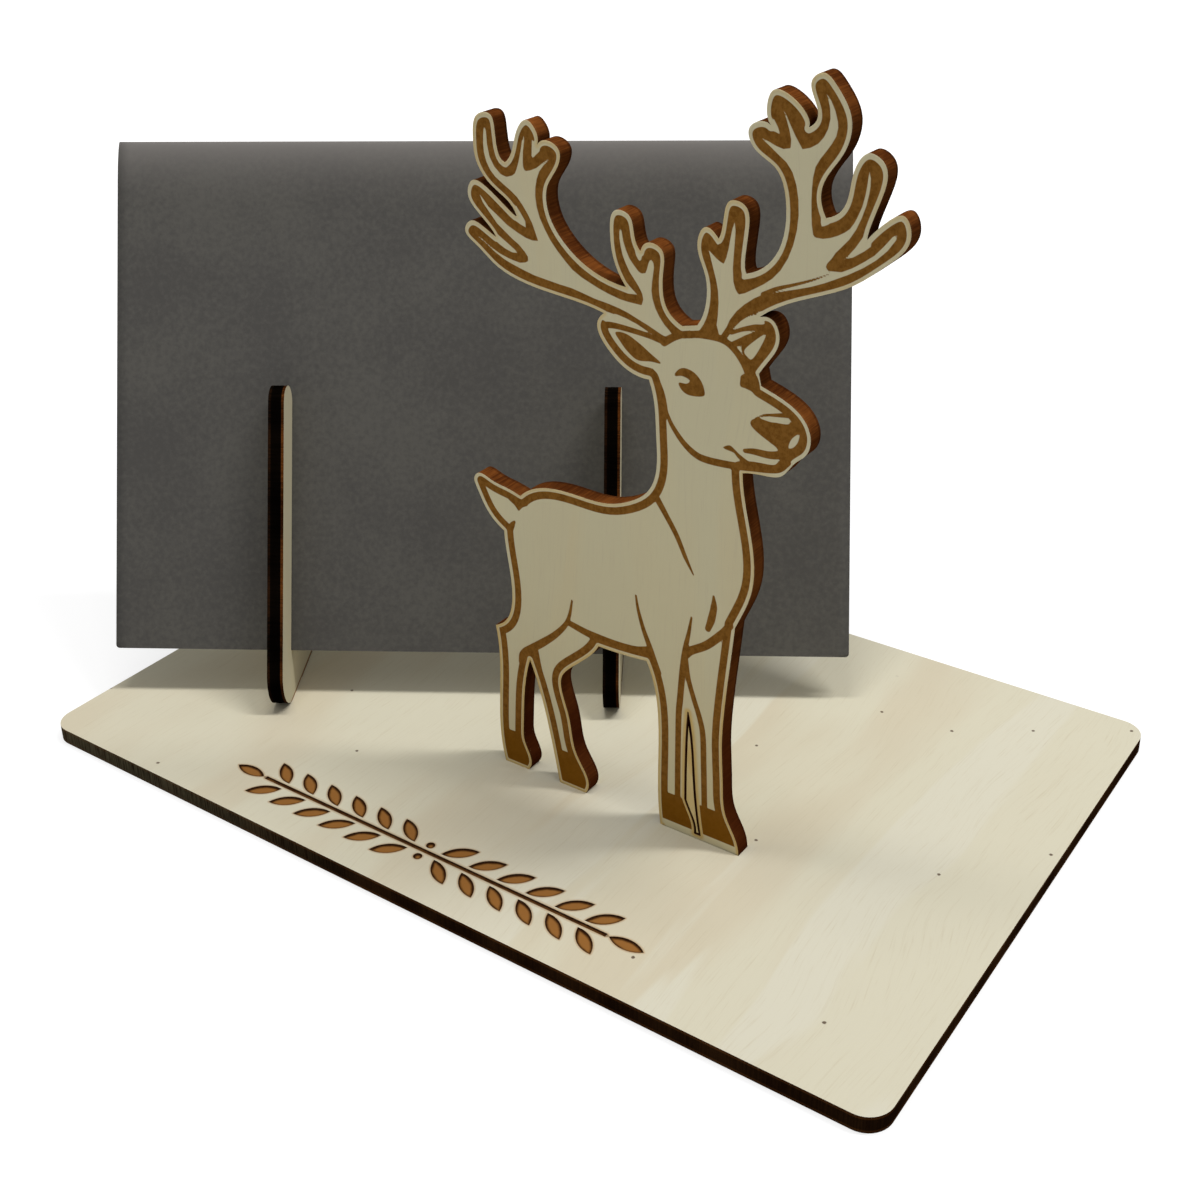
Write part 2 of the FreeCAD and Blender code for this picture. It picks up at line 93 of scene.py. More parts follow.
# %% A socket that can be calculated with
class Field:
    """One output of a node tree. Arithmetic with numbers or other Fields adds Math nodes."""

    def __init__(self, tree, socket=None):
        self.tree, self.socket = tree, socket

    def node(self, kind, sockets=None, out=0, **settings):
        """Adds a node of this kind. Its sockets and its output go by number, name or identifier."""
        made = self.tree.nodes.new("ShaderNode" + kind)
        for name, value in settings.items():
            setattr(made, name, value)
        for name, value in (sockets or {}).items():
            socket = pick(made.inputs, name)
            if isinstance(value, Field):
                self.tree.links.new(value.socket, socket)
            else:
                socket.default_value = value
        return Field(self.tree, pick(made.outputs, out) if made.outputs else None)

    def math(self, operation, *values):
        return self.node("Math", dict(enumerate(values)), operation=operation)

    def __add__(self, other):
        return self.math("ADD", self, other)

    def __sub__(self, other):
        return self.math("SUBTRACT", self, other)

    def __rsub__(self, other):
        return self.math("SUBTRACT", other, self)

    def __mul__(self, other):
        return self.math("MULTIPLY", self, other)

    __radd__, __rmul__ = __add__, __mul__


def pick(sockets, name):
    """A socket by its number, or else by its identifier or its name."""
    if isinstance(name, int):
        return sockets[name]
    return next(socket for socket in sockets if name in (socket.identifier, socket.name))


# %% Small helpers for every finish
def paint(red, green, blue):
    """A colour as it looks on a screen, 0 to 255, turned into the linear light that shaders use."""
    share = np.array((red, green, blue)) / 255
    linear = np.where(share < 0.04045, share / 12.92, ((share + 0.055) / 1.055) ** 2.4)
    return (*linear.tolist(), 1.0)


def blend(mask, below, above):
    """The colour `below` where the mask is 0, `above` where it is 1, and a mix in between."""
    return mask.node("Mix", {"Factor_Float": mask, "A_Color": below, "B_Color": above},
                     "Result_Color", data_type="RGBA")


def step(value, low, high):
    """Rises smoothly from 0 at `low` to 1 at `high`; with low above high it falls."""
    return value.node("MapRange", {"Value": value, "From Min": low, "From Max": high},
                      interpolation_type="SMOOTHSTEP")


def place_in_mm(start, turn=0.0):
    """Object coordinates in millimetres, turned so that a board's own directions are the axes."""
    place = start.node("TexCoord", out="Object")
    scale = (1 / MM,) * 3
    return start.node("Mapping", {"Vector": place, "Rotation": (0, 0, -turn), "Scale": scale})


def part_of(place, axis):
    """One coordinate of a place or a direction."""
    return place.node("SeparateXYZ", {0: place}, axis)


def kept_number(start, name):
    """The number that every point of a piece keeps under this name."""
    return start.node("Attribute", out="Fac", attribute_name=name)


def clouds(place, per_mm, detail=2.0, roughness=0.5):
    """A cloudy pattern from 0 to 1, with so many clouds per millimetre along each axis."""
    stretched = place.node("VectorMath", {0: place, 1: per_mm}, operation="MULTIPLY")
    return place.node("TexNoise", {"Vector": stretched, "Scale": 1.0, "Detail": detail,
                                   "Roughness": roughness})


def bump(pattern, strength, depth):
    """A relief for a surface's Normal, from a pattern and its depth in millimetres."""
    return pattern.node("Bump", {"Strength": strength, "Distance": depth * MM, "Height": pattern})


def new_finish(name):
    """An empty material, and the Field that its nodes grow from."""
    material = bpy.data.materials.new(name)
    material.use_nodes = True
    material.node_tree.nodes.clear()
    return material, Field(material.node_tree)


def surface(start, **sockets):
    """Ends a finish with the all-round shader, which has no gloss unless its level is given. Its
    sockets are named with _ for a space."""
    named = {name.replace("_", " "): value for name, value in sockets.items()}
    shader = start.node("BsdfPrincipled", {"Specular IOR Level": 0.0, **named})
    start.node("OutputMaterial", {"Surface": shader})


print("colour check, cream:", np.round(paint(222, 213, 190), 3))

# %% [markdown]
# ## Floor and light
# The stand is shown on white. The world is white to the camera but weaker as a light, most of all
# from the front. The card's shadow on the base has a crisp line plumb below its lower edge, while
# the hooves throw soft shadows to the front left. Both fit long tubes that run in the card's own
# direction, which blur the hooves' shadows but not the card's line. One hangs close overhead,
# because the card gets darker downwards, and the other hangs higher, behind on the right. The floor
# is a white sheet that keeps the stand's own shadow. To the camera alone it is part lit and part
# glowing, which makes that shadow faint, and the glow grows outwards, because the near tube doesn't
# reach the sheet's far end.

# %% White world
FILL_FRONT = 0.33
FILL_BACK = 0.48
BACK_SIDE = (-0.5, 0.87, 0.0)
FILL_TURN = 0.7

world = bpy.data.worlds.new("white_world")
world.use_nodes = True
world.node_tree.nodes.clear()
sky = Field(world.node_tree)
seen = sum((sky.node("LightPath", out=ray) for ray in ("Is Glossy Ray", "Is Transmission Ray")),
           sky.node("LightPath", out="Is Camera Ray"))
toward = sky.node("VectorMath", {0: sky.node("TexCoord", out="Generated"), 1: BACK_SIDE}, "Value",
                  operation="DOT_PRODUCT")
fill = FILL_FRONT + step(toward, -FILL_TURN, FILL_TURN) * (FILL_BACK - FILL_FRONT)
strength = fill + seen * (1 - fill)
backdrop = sky.node("Background", {"Color": (1, 1, 1, 1), "Strength": strength})
sky.node("OutputWorld", {"Surface": backdrop})
scene.world = world
scene.view_settings.view_transform = "Standard"
print("fill light from the front and from behind:", FILL_FRONT, FILL_BACK)

# %% Floor
FLOOR_SIZE = 6.0
FLOOR_DROP = 0.1
FLOOR_WHITE = 0.9
FLOOR_SHARE = 0.4
GLOW_NEAR, GLOW_FAR = 0.73, 0.95
GLOW_START, GLOW_END = 0.12, 0.4

corners = np.array([(-1, -1), (1, -1), (1, 1), (-1, 1)]) * FLOOR_SIZE / 2
floor_mesh = bpy.data.meshes.new("floor")
floor_mesh.from_pydata(np.column_stack((corners, np.full(4, -FLOOR_DROP * MM))), [], [(0, 1, 2, 3)])
floor = bpy.data.objects.new("floor", floor_mesh)
scene.collection.objects.link(floor)

floor_white, start = new_finish("floor_white")
seen = start.node("LightPath", out="Is Camera Ray")
place = start.node("TexCoord", out="Object")
outward = start.node("VectorMath", {0: place}, "Value", operation="LENGTH")
glow = seen * (GLOW_NEAR + step(outward, GLOW_START, GLOW_END) * (GLOW_FAR - GLOW_NEAR))
white = blend(seen, (FLOOR_WHITE,) * 3 + (1,), (FLOOR_SHARE,) * 3 + (1,))
surface(start, Base_Color=white, Roughness=1.0,
        Emission_Color=blend(glow, (0, 0, 0, 1), (1, 1, 1, 1)), Emission_Strength=1.0)
floor_mesh.materials.append(floor_white)
print("floor size in m:", FLOOR_SIZE)

# %% Two tubes
TUBE_TURN = np.radians(32)


def new_tube(name, power, place, length, width):
    """A long flat lamp that shines down, with its power in watts and its place and size in mm."""
    lamp = bpy.data.objects.new(name, bpy.data.lights.new(name, "AREA"))
    lamp.data.shape, lamp.data.energy = "RECTANGLE", power
    lamp.data.size, lamp.data.size_y = length * MM, width * MM
    lamp.location = np.array(place) * MM
    lamp.rotation_euler = (0, 0, TUBE_TURN)
    scene.collection.objects.link(lamp)
    print(name, "in watts:", power)


new_tube("near_tube", 1.0, (-45, -50, 620), 220, 60)
new_tube("far_tube", 13.0, (620, 400, 1500), 800, 150)

# %% [markdown]
# ## Plywood
# Three-ply board looks different in every direction: pale veneer with a faint grain on its faces,
# and a scorched edge wherever the laser went through. One finish can do both, because it can ask
# which way the surface looks. A face looks through the board; an edge looks sideways. So each board
# is described by the axis that goes through it, the axis its grain runs along and the one across
# the grain, by its own pale colours, by how strongly and from where on the grain shows, by the
# share of it that is clean of specks, by the height below which its edges are darker, by how much
# painted shade darkens its edges that look sideways or down, and by how much pale ash lies on
# those to the left.

# %% How each board lies
joint_axes = {joint["name"]: np.array(joint["axis"]) for joint in frame["joints"]}
lift_axis = joint_axes["card_lift"]
CARD_BACK = lift_axis * (1, 1, 0) / np.hypot(*lift_axis[:2])
CARD_ALONG = np.cross(CARD_BACK, (0, 0, 1))
CARD_TURN = float(np.arctan2(CARD_ALONG[1], CARD_ALONG[0]))

BASE = {"turn": 0.0, "across": 0, "along": 1, "through": 2, "flame": 1.0, "start": -15,
        "clean": 0.78, "painted_side_shade": 0.8, "darker_below": -99, "ash": 0.5,
        "cream": paint(217, 211, 188), "cool": paint(219, 214, 194), "tan": paint(212, 202, 177)}
STAG = {"turn": 0.0, "across": 0, "along": 2, "through": 1, "flame": 0.4, "start": -999,
        "clean": 1.0, "painted_side_shade": 0.66, "darker_below": 30, "ash": 0.0,
        "cream": paint(211, 202, 167), "cool": paint(208, 201, 169), "tan": paint(210, 195, 157)}
# The forks' pale colours are darker than the stag's: partly a darker board, partly painted shade.
FORK = {"turn": CARD_TURN, "across": 1, "along": 2, "through": 0, "flame": 0.4, "start": -999,
        "clean": 0.98, "painted_side_shade": 0.8, "darker_below": -99, "ash": 0.0,
        "cream": paint(194, 186, 158), "cool": paint(191, 186, 163), "tan": paint(194, 181, 152)}
print("forks are turned by", round(np.degrees(CARD_TURN), 2), "degrees")


def rates(board, across, along, through):
    """Clouds per millimetre in the board's own directions, put in the order of the axes."""
    order = {board["across"]: across, board["along"]: along, board["through"]: through}
    return tuple(order[axis] for axis in range(3))


def on_face(start, board):
    """1 on a board's two faces and 0 on its cut edges, by which way the surface looks."""
    through = np.array(Matrix.Rotation(board["turn"], 3, "Z"))[:, board["through"]].tolist()
    looks = start.node("NewGeometry", out="True Normal")
    along = start.node("VectorMath", {0: looks, 1: through}, "Value", operation="DOT_PRODUCT")
    return step(along * along, 0.4, 0.6)


# %% Pale veneer
FIBRE = paint(198, 186, 157)
SPECK = paint(74, 48, 32)
SPECK_CELLS = 0.06
SPECK_EDGE = (0.026, 0.014)
WAVE = 18


def veneer(place, board):
    """Colour of a pale face: light flames and tan patches with wavy sides, which are narrow across
    the grain and long along it, fine fibres, and small dark specks, each in a cell of its own and
    only in some cells."""
    wander = clouds(place, rates(board, 0.02, 0.012, 0.02))
    wave = place.node("CombineXYZ", {board["across"]: wander * WAVE})
    bent = place.node("VectorMath", {0: place, 1: wave}, operation="ADD")
    flames = clouds(bent, rates(board, 0.1, 0.009, 0.1), roughness=0.4)
    patches = clouds(bent, rates(board, 0.05, 0.012, 0.1))
    fibres = clouds(bent, rates(board, 4.0, 0.12, 1.0), detail=3, roughness=0.6)
    across, along = part_of(place, board["across"]), part_of(place, board["along"])
    grained = step(across, board["start"], board["start"] + 50) * board["flame"]
    colour = blend(step(patches, 0.46, 0.66) * board["flame"] * 0.9, board["cream"], board["tan"])
    colour = blend(step(flames, 0.49, 0.55) * grained, colour, board["cool"])
    colour = blend(step(fibres, 0.5, 0.85) * 0.5, colour, FIBRE)
    flat = place.node("CombineXYZ", {"X": across, "Y": along})
    cells, chance = (place.node("TexVoronoi", {"Vector": flat, "Scale": SPECK_CELLS}, out,
                                voronoi_dimensions="2D") for out in ("Distance", "Color"))
    chance = chance.node("SeparateColor", {0: chance})
    ragged = clouds(place, (3.0, 3.0, 3.0), detail=1)
    spot = step(cells + (ragged - 0.5) * 0.02, *SPECK_EDGE)
    spot = spot * step(chance, board["clean"], board["clean"] + 0.02)
    return blend(spot * 0.85, colour, SPECK)


# %% Scorched edge
# A darker brown that edges turn towards below a board's given height.
LOW_EDGE_DARK = paint(58, 20, 7)
ASH = paint(96, 91, 70)


def scorched(start, place, board, light, dark):
    """Colour of a laser-cut edge: streaks that run through the board, between a light and a dark
    brown. Edges that look sideways or down are darkened with painted shade, and those that look up
    stay lighter. Edges below a given height are darker, and ash makes edges on the left paler."""
    streaks = clouds(place, rates(board, 3.2, 3.2, 0.15), detail=3, roughness=0.6)
    patches = clouds(place, rates(board, 0.09, 0.09, 0.05))
    brown = blend(step(streaks * 0.45 + patches * 0.65, 0.4, 0.75), dark, light)
    up = part_of(start.node("NewGeometry", out="True Normal"), "Z")
    # Painted shade: a near-black copy of the dark brown, blended onto edges that look sideways or
    # down.
    painted_side_shade = tuple(share * 0.35 for share in dark[:3]) + (1.0,)
    brown = blend(step(up, 0.85, -0.1) * board["painted_side_shade"], brown, painted_side_shade)
    sideways, height = part_of(place, "X"), part_of(place, "Z")
    # Edges below the board's given height get darker towards the bottom.
    brown = blend(step(height, board["darker_below"] + 15, board["darker_below"] - 15) * 0.6, brown, LOW_EDGE_DARK)
    return blend(step(sideways, 0, -80) * step(streaks, 0.3, 0.6) * board["ash"], brown, ASH)


def fibre_relief(place, board):
    """The slight relief of fibres that run along the grain."""
    return bump(clouds(place, rates(board, 4.0, 0.12, 2.0), detail=3), 0.12, 0.05)


def plain_board(name, board, light, dark, joint=None):
    """A finish for a ply that has nothing engraved: pale faces and scorched edges. Where it stands
    in a slot, a thin brown line marks the joint's height: partly char, partly painted contact
    shade."""
    material, start = new_finish(name)
    place = place_in_mm(start, board["turn"])
    face = on_face(start, board)
    pale = veneer(place, board)
    if joint is not None:
        # Char and painted contact shade: a thin brown line just above the joint with the base.
        line = step(part_of(place, "Z"), joint + 0.75, joint + 0.25)
        pale = blend(line * 0.8, pale, light)
    surface(start, Base_Color=blend(face, scorched(start, place, board, light, dark), pale),
            Roughness=0.6 + face * 0.2, Normal=fibre_relief(place, board))
    return material


def dress(finish, *nodes):
    """Gives CAD nodes one finish in place of the plain one that they came with."""
    for node in nodes:
        mesh = frame["nodes"][node].data
        mesh.materials.clear()
        mesh.materials.append(finish)


# %% Finish every ply that has nothing engraved
# An edge is a light and a dark brown. A fork's two veneers also get the line of the joint,
# partly char and partly painted contact shade.
FRONT_EDGE = paint(132, 80, 37), paint(76, 40, 17)
EDGE = paint(127, 73, 31), paint(71, 35, 13)
BACK_EDGE = paint(102, 58, 26), paint(56, 27, 10)
BASE_EDGE = paint(128, 84, 44), paint(74, 42, 20)
BASE_CORE_EDGE = paint(84, 56, 32), paint(36, 21, 11)
FORK_EDGE = paint(126, 72, 30), paint(44, 22, 9)
FORK_DARK_EDGE = paint(60, 36, 20), paint(12, 8, 5)
FORK_CORE_EDGE = paint(18, 12, 8), paint(4, 3, 2)
BASE_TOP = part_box("base_top_veneer")[1][2] / MM

PLIES = [
    ("base_veneer", BASE, BASE_EDGE, None, "base_bottom_veneer"),
    ("base_core", BASE, BASE_CORE_EDGE, None, "base_core"),
    ("fork_veneer", FORK, FORK_EDGE, BASE_TOP,
     "left_support_right_veneer", "right_support_right_veneer"),
    ("fork_veneer_dark", FORK, FORK_DARK_EDGE, BASE_TOP,
     "left_support_left_veneer", "right_support_left_veneer"),
    ("fork_core", FORK, FORK_CORE_EDGE, None, "left_support_core", "right_support_core"),
    ("stag_veneer", STAG, BACK_EDGE, None, "stag_back_veneer"),
    ("stag_core", STAG, EDGE, None, "stag_core"),
]
for name, board, edge, joint, *nodes in PLIES:
    dress(plain_board(name, board, *edge, joint), *nodes)
print("plain plywood finishes:", len(PLIES))

# %% [markdown]
# ## Faces from borders
# Both engraved faces start from a flat face of a solid. Its border is found among the solid's
# triangles: an edge that only one triangle of the flat face has must lie on the border. A dense set
# of points is then laid inside the border and all of it is joined by a Delaunay triangulation,
# which keeps the border exactly.

# %% The border of a flat face
def corners_of(node):
    """All corner points of a solid's mesh in mm, rounded so that equal corners are equal."""
    mesh = frame["nodes"][node].data
    corners = np.empty(len(mesh.vertices) * 3)
    mesh.vertices.foreach_get("co", corners)
    return np.round(corners.reshape(-1, 3) / MM, 4)


def border(node, axis, level):
    """2-D points of a flat face's border in mm, and the pairs of them that its edges join."""
    mesh = frame["nodes"][node].data
    corner_of = np.empty(len(mesh.loops), dtype=np.int32)
    mesh.loops.foreach_get("vertex_index", corner_of)
    points, merged = np.unique(corners_of(node), axis=0, return_inverse=True)
    triangles = merged.ravel()[corner_of].reshape(-1, 3)
    flat = triangles[(np.abs(points[triangles, axis] - level) < 1e-3).all(axis=1)]
    edges = np.sort(flat[:, (0, 1, 1, 2, 2, 0)].reshape(-1, 2), axis=1)
    edges, uses = np.unique(edges, axis=0, return_counts=True)
    used, edges = np.unique(edges[uses == 1], return_inverse=True)
    return np.delete(points[used], axis, axis=1), edges.reshape(-1, 2)


# %% Distances and insides
BLOCK_SIZE = 200_000


def blocks(points, segments):
    """Cuts a long list of points into blocks that fit in memory against all segments at once."""
    return np.array_split(points, len(points) * segments // BLOCK_SIZE + 1)


def distance(points, starts, ends, start_radius=0.0, end_radius=0.0):
    """Distance from each point to the nearest segment: the point is dropped on each segment's line,
    held between its two ends, and the shortest drop counts, less the segment's radius there."""
    (start_x, start_y), (run_x, run_y) = starts.T, (ends - starts).T
    length = np.maximum(run_x**2 + run_y**2, 1e-12)
    nearest = []
    for some in blocks(points, len(starts)):
        away_x, away_y = some[:, :1] - start_x, some[:, 1:] - start_y
        share = np.clip((away_x * run_x + away_y * run_y) / length, 0, 1)
        drop = np.sqrt((away_x - share * run_x) ** 2 + (away_y - share * run_y) ** 2)
        nearest.append((drop - start_radius - share * (end_radius - start_radius)).min(axis=1))
    return np.concatenate(nearest)


def inside(points, starts, ends):
    """Whether each point is in a border: a line from it to the right crosses the border an odd
    number of times."""
    rise = np.where(ends[:, 1] == starts[:, 1], 1.0, ends[:, 1] - starts[:, 1])
    lean = (ends[:, 0] - starts[:, 0]) / rise
    odd = []
    for some in blocks(points, len(starts)):
        across, up = some[:, :1], some[:, 1:]
        passes = (starts[:, 1] > up) != (ends[:, 1] > up)
        meets = starts[:, 0] + (up - starts[:, 1]) * lean
        odd.append((passes & (across < meets)).sum(axis=1) % 2 == 1)
    return np.concatenate(odd)


def grid_in(points, edges, spacing, margin):
    """Points of a square grid that lie inside a border and at least `margin` from it."""
    low, high = points.min(axis=0), points.max(axis=0)
    across, up = (np.arange(low[axis], high[axis], spacing) for axis in (0, 1))
    grid = np.stack(np.meshgrid(across, up), axis=-1).reshape(-1, 2)
    starts, ends = points[edges[:, 0]], points[edges[:, 1]]
    grid = grid[inside(grid, starts, ends)]
    return grid[distance(grid, starts, ends) > margin]


# %% Filling and joining
def fill(points, edges):
    """Triangles that fill a border through all the given points. Triangles that join border points
    only may bridge a hole, so those are kept only where their middle is inside the border."""
    triangles = np.array(delaunay_2d_cdt(points.tolist(), edges.tolist(), [], 1, 1e-9)[2])
    doubtful = np.flatnonzero((triangles <= edges.max()).all(axis=1))
    middles = points[triangles[doubtful]].mean(axis=1)
    outside = ~inside(middles, points[edges[:, 0]], points[edges[:, 1]])
    return np.delete(triangles, doubtful[outside], axis=0)


def walls(edges, first, second):
    """Quads that join the same border at two levels, whose points start at `first` and `second`."""
    return np.column_stack((edges + first, edges[:, ::-1] + second))


def new_piece(name, points, faces, smooth=0, **attributes):
    """An object from points in millimetres, with its faces turned outwards. The first `smooth`
    faces are shaded smoothly, and each attribute gives every point a number for the finish."""
    mesh = bpy.data.meshes.new(name)
    mesh.from_pydata(points * MM, [], [face for group in faces for face in group.tolist()])
    shape = bmesh.new()
    shape.from_mesh(mesh)
    bmesh.ops.recalc_face_normals(shape, faces=shape.faces)
    shape.to_mesh(mesh)
    loose = sum(not edge.is_manifold for edge in shape.edges)
    shape.free()
    mesh.polygons.foreach_set("use_smooth", np.arange(len(mesh.polygons)) < smooth)
    for key, values in attributes.items():
        numbers = mesh.attributes.new(key, "FLOAT", "POINT").data
        numbers.foreach_set("value", values.astype(np.float32))
    piece = bpy.data.objects.new(name, mesh)
    scene.collection.objects.link(piece)
    print(name, "faces:", len(mesh.polygons), "open edges:", loose)
    return piece


# %% [markdown]
# ## The stag's engraved face
# The laser drew the stag with brown lines about 1.5 mm wide. Most of them run alongside the
# outline, less than a millimetre inside it, so that the pale rim is left standing. The rest are
# single strokes for the face, the ears, the shoulder and the legs. A picture could carry them, but
# it would blur close up. Instead every point of the face knows its distance to the nearest line, in
# millimetres and negative inside it. The finish turns that number into a sharp brown edge, and the
# face is pressed in a little where the lines run.

# %% Lines of the drawing
# Each stroke is a list of widths, spread evenly along it, and the points (x, z) in mm that it goes
# through. In the drawing the ground that the stag stands on is at z = 0.
STROKES = {
    "brow": ([1.5, 1.2, 1.2, 1.3, 1.6], [
        (31, 101.8), (33.3, 103.3), (36, 104.3), (40, 104.7), (42.9, 104.5), (45, 103.3),
        (46.8, 101.3), (48, 99.2)]),
    "right antler thin line": ([0.9, 0.7, 0.6, 0.5, 0.4, 0.2], [
        (50, 113.9), (52, 115.1), (53.4, 115.75), (55.1, 116.4), (57.3, 117.3), (59.4, 118.25),
        (61.7, 119.5)]),
    "left ear top": ([1.3, 1.1, 1.0, 1.0], [
        (18.6, 102.6), (21.7, 102.8), (27.5, 102.4), (30.5, 101.9)]),
    "right ear top": ([0.9, 1.1, 1.3], [(44.2, 106.3), (46.7, 107.5), (51, 108.6)]),
    "right ear fold": ([1.0, 1.5, 1.1], [(44.6, 104.2), (47.2, 105.6), (50.6, 107.8)]),
    "nose top": ([0.5, 0.5, 0.9], [(49.4, 91.9), (51, 92.9), (53, 93.4), (55.4, 93.9)]),
    "mouth": ([0.8, 1.3, 1.5, 1.4], [
        (47.4, 85.5), (49.2, 85.8), (52.2, 85.9), (54.3, 86.5), (55.4, 87.4)]),
    "cheek": ([0.4, 0.9, 0.6], [(44.9, 85.4), (46.6, 84), (49, 83.1)]),
    "jaw": ([0.7, 1.0, 1.3, 1.4, 1.4, 1.4, 1.4], [
        (31.7, 88.8), (32.7, 86.8), (35, 84.1), (37.5, 82.4), (40, 81.9), (44.6, 82.1),
        (48.8, 82.7), (53.6, 83.6), (55.6, 85.4)]),
    "neck": ([1.2, 1.3], [(28.6, 95.9), (30, 93.7), (30.8, 91.6), (31.3, 89)]),
    "shoulder": ([1.4, 1.2, 1.1, 0.9, 0.3], [
        (29.7, 71.6), (31.7, 68.7), (33.9, 65.3), (35.8, 61.4), (37.5, 58.4)]),
    "tail": ([0.5, 1.2, 1.3], [(-3.1, 57.8), (-3.7, 56.9), (-4.2, 55.7)]),
    "chest": ([0.4, 1.4, 1.6, 1.2], [(41.8, 55.4), (41.9, 53.1), (41.4, 50.3), (40.7, 48.1)]),
    "left foreleg": ([0.45, 0.9, 1.3, 1.4], [
        (25, 50.2), (25.5, 47.3), (26.6, 43.6), (27.9, 40.4), (28.9, 37.8), (30, 35)]),
    "between the forelegs": ([0.45, 1.0, 1.4, 1.4, 1.3, 1.3], [
        (37.2, 49.4), (36.6, 45.7), (35.8, 41.5), (35.3, 36.2), (34.9, 31), (34.6, 27), (34.5, 17),
        (34.5, 8)]),
    "chest to foreleg": ([1.5, 1.7, 1.7, 1.7], [
        (45.3, 50.3), (43.7, 48), (40.5, 44.6), (37.2, 42.3), (36, 41)]),
    "right foreleg": ([1.2, 1.1, 1.2, 1.3, 1.3], [
        (36, 40), (36.6, 36.2), (37.9, 32), (39.2, 28.3), (40, 24.6), (40.3, 17.8), (40.6, 8.3)]),
    "thigh": ([0.45, 1.1, 1.7, 1.7, 1.3], [
        (10.2, 44.4), (9.5, 40.9), (8.4, 38.3), (5.8, 35.2), (2.6, 32.3), (0, 30.2), (-1.6, 28.9),
        (-2.6, 27.6), (-2.9, 26)]),
    "right hind leg": ([1.2, 1.2], [(1, 30), (1.8, 25.7), (3.2, 20.4)]),
    "belly": ([1.4, 1.8, 1.8, 1.6], [
        (9.3, 39.1), (14.2, 38.2), (20, 37.9), (24.7, 38.2), (27.8, 39.2)]),
}
# Filled shapes are closed curves through these points, and so are the pale spots left in them.
FILLED = {
    "left ear": [
        (21, 101.6), (23.2, 101.8), (25.8, 100.7), (28.3, 99.2), (30.5, 97.8), (28.4, 97.7),
        (25.6, 97.4), (23.6, 98.5), (22.1, 100)],
    "left eye": [
        (33.3, 96.6), (34.2, 97.6), (35.4, 98), (37.1, 97.6), (38.5, 96.4), (39.2, 94.9),
        (39.2, 93.8), (37.9, 93.3), (36, 93.2), (34.8, 93.7), (34.1, 94.6), (34.2, 95.1),
        (35.6, 95.2), (36.3, 95.8), (35.8, 96.2), (34.6, 96.4), (33.4, 96.1)],
    "right eye": [
        (46.3, 99), (46.15, 98.2), (46.2, 97.1), (47.2, 96.9), (48.6, 96.6), (49.8, 96.5),
        (49.9, 98), (49.3, 99.6), (48.4, 100.2), (47.4, 99.8)],
    "nose": [
        (48.3, 90.9), (48.8, 91.7), (50.2, 92.1), (52.5, 92), (55.2, 92.6), (57.3, 93.2),
        (58.7, 91.5), (58.8, 89.4), (57.5, 87.4), (55.6, 86.4), (54.2, 86.3), (53.5, 87.5),
        (52.2, 88.2), (50.2, 89.2), (48.8, 90.1)],
    "right ear": [
        (46.2, 104), (47.4, 105.6), (50.2, 107.6), (51.8, 107.2), (50.9, 103.6), (49, 101.3),
        (47.4, 101.4)],
    "tail notch": [
        (-4.4, 62.4), (-3, 61.4), (-2, 60.3), (-2, 60.3), (-1, 61.4), (0.3, 62.3), (-2, 62.8)],
    "cheek": [(43.1, 85), (44.5, 85.8), (45.6, 84.9), (46.8, 83.9), (45.2, 84.6)],
}
PALE = {
    "nose light": [
        (50.1, 92.2), (51.5, 92.8), (53.6, 93), (55.6, 92.9), (55.3, 92.3), (52.8, 92.1)],
    "muzzle light": [
        (55.7, 88.1), (56.6, 88.4), (57.4, 89.6), (57.6, 91), (56.7, 90.4), (56, 89.4)],
    "under the left antler": [
        (18.2, 104.9), (20, 104.95), (22.5, 104.6), (25, 104.15), (27, 103.4), (28, 102.9),
        (25.8, 103.1), (22.9, 103.4), (20, 103.35), (18.6, 103.3)],
    "under the right antler": [
        (49.6, 110.2), (48, 109.9), (46, 108.5), (44.5, 106.8), (46.5, 107.7), (48.5, 108.5),
        (50.4, 109)],
    "right ear light": [
        (50.7, 107.2), (48.6, 105.6), (46.8, 103.6), (47.4, 102.6), (48.3, 102.4), (49.7, 104.6)],
}
print("strokes:", len(STROKES), "filled shapes:", len(FILLED), "pale spots:", len(PALE))

